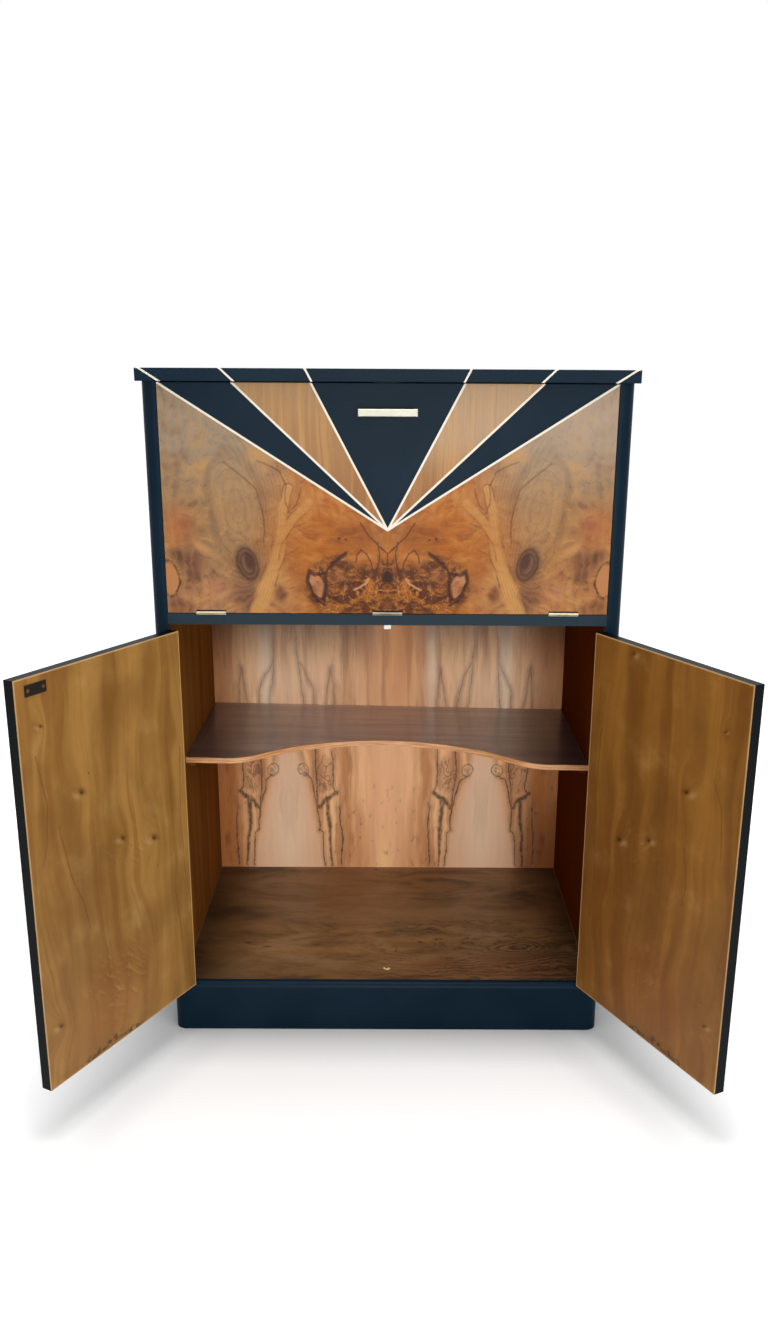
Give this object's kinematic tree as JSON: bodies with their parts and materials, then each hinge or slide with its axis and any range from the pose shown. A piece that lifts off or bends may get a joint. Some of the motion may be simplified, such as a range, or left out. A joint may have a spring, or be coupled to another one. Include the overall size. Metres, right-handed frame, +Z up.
{
  "type": "bar cabinet with fold out shelf",
  "caption": "Dark blue and walnut bar cabinet with a sunburst fold-out flap over a two-door cupboard with a curved inner shelf.",
  "frame": {"origin": "on the floor at the centre of the carcass footprint, on the underside of the middle bearer", "axes": "+X to the cabinet's right seen from the front, +Y to its back, +Z up; the front is at -Y"},
  "size_m": [1.0724, 0.8464, 1.176],
  "materials": {
    "navy_wood": "painted dark blue, satin",
    "walnut": "polished",
    "door_veneer": "polished",
    "burr": "gloss lacquer",
    "straight_veneer": "gloss lacquer",
    "inlay": "gloss lacquer",
    "rough_wood": "unfinished",
    "back_veneer": "polished",
    "brass": "polished",
    "screw_brass": "worn",
    "steel": "plated",
    "black_steel": "satin black",
    "nylon": "matte",
    "magnet_case": "matte"
  },
  "bodies": {
    "carcass": {"side_panel_left": "navy_wood", "side_panel_right": "navy_wood", "side_lining_left": "walnut", "side_lining_right": "walnut", "stile_left": "navy_wood", "stile_right": "navy_wood", "top_board": "navy_wood", "top_inlay_lines": "inlay", "top_back_rail": "walnut", "divider_board": "walnut", "divider_rail": "navy_wood", "floor_board": "walnut", "plinth_front": "navy_wood", "plinth_back": "rough_wood", "plinth_bearer": "rough_wood", "plinth_blocks": "rough_wood", "back_panel_lower": "back_veneer", "back_panel_upper": "back_veneer", "back_panel_screws": "screw_brass", "shelf_board": "walnut", "shelf_lipping": "straight_veneer", "shelf_battens": "walnut", "shelf_batten_screws": "screw_brass", "door_stop": "nylon", "door_stop_screw": "screw_brass", "door_hinge_leaves_fixed": "brass", "door_hinge_pins": "steel", "door_hinge_screws_fixed": "screw_brass", "flap_hinge_leaves_fixed": "brass", "flap_hinge_pins": "steel", "flap_hinge_screws_fixed": "screw_brass", "stay_wall_brackets": "brass", "stay_wall_screws": "screw_brass", "flap_catch_magnet": "magnet_case"},
    "flap": {"flap_core": "navy_wood", "flap_inner_veneer": "walnut", "flap_veneer_burr": "burr", "flap_veneer_straight": "straight_veneer", "flap_painted_rays": "navy_wood", "flap_inlay_lines": "inlay", "flap_handle": "brass", "flap_hinge_leaves_moving": "brass", "stay_flap_brackets": "brass", "flap_screws": "screw_brass", "flap_catch_plate": "steel"},
    "door_left": {"door_left_core": "navy_wood", "door_left_veneer": "door_veneer", "door_left_handle": "brass", "door_left_hinge_leaves": "brass", "door_left_screws": "screw_brass", "catch_plate": "black_steel"},
    "door_right": {"door_right_core": "navy_wood", "door_right_veneer": "door_veneer", "door_right_handle": "brass", "door_right_hinge_leaves": "brass", "door_right_screws": "screw_brass"},
    "stay_rod_left": {"stay_rod_left": "brass"},
    "stay_rod_right": {"stay_rod_right": "brass"},
    "stay_swivel_left": {"stay_swivel_left": "brass"},
    "stay_swivel_right": {"stay_swivel_right": "brass"}
  },
  "joints": [
    {"name": "flap_hinge", "type": "hinge", "parent": "carcass", "child": "flap", "pos_m": [0, -0.2567, 0.7872], "axis": [1, 0, 0], "range_deg": [0, 90]},
    {"name": "door_left_hinge", "type": "hinge", "parent": "carcass", "child": "door_left", "pos_m": [-0.3645, -0.2575, 0.43], "axis": [0, 0, -1], "range_deg": [-118, 47]},
    {"name": "door_right_hinge", "type": "hinge", "parent": "carcass", "child": "door_right", "pos_m": [0.3645, -0.2575, 0.43], "axis": [0, 0, 1], "range_deg": [-117, 48]},
    {"name": "stay_rod_left_pivot", "type": "hinge", "parent": "flap", "child": "stay_rod_left", "pos_m": [-0.35, -0.2225, 0.9972], "axis": [1, 0, 0], "range_deg": [-46, 1]},
    {"name": "stay_swivel_left_pivot", "type": "hinge", "parent": "carcass", "child": "stay_swivel_left", "pos_m": [-0.35, -0.1838, 0.98709], "axis": [1, 0, 0], "range_deg": [-1, 46]},
    {"name": "stay_rod_right_pivot", "type": "hinge", "parent": "flap", "child": "stay_rod_right", "pos_m": [0.35, -0.2225, 0.9972], "axis": [1, 0, 0], "range_deg": [-46, 1]},
    {"name": "stay_swivel_right_pivot", "type": "hinge", "parent": "carcass", "child": "stay_swivel_right", "pos_m": [0.35, -0.1838, 0.98709], "axis": [1, 0, 0], "range_deg": [-1, 46]}
  ],
  "couplings": [
    {"joint": "stay_rod_left_pivot", "follows": "flap_hinge", "ratio": -0.5},
    {"joint": "stay_swivel_left_pivot", "follows": "flap_hinge", "ratio": 0.5},
    {"joint": "stay_rod_right_pivot", "follows": "flap_hinge", "ratio": -0.5},
    {"joint": "stay_swivel_right_pivot", "follows": "flap_hinge", "ratio": 0.5}
  ]
}
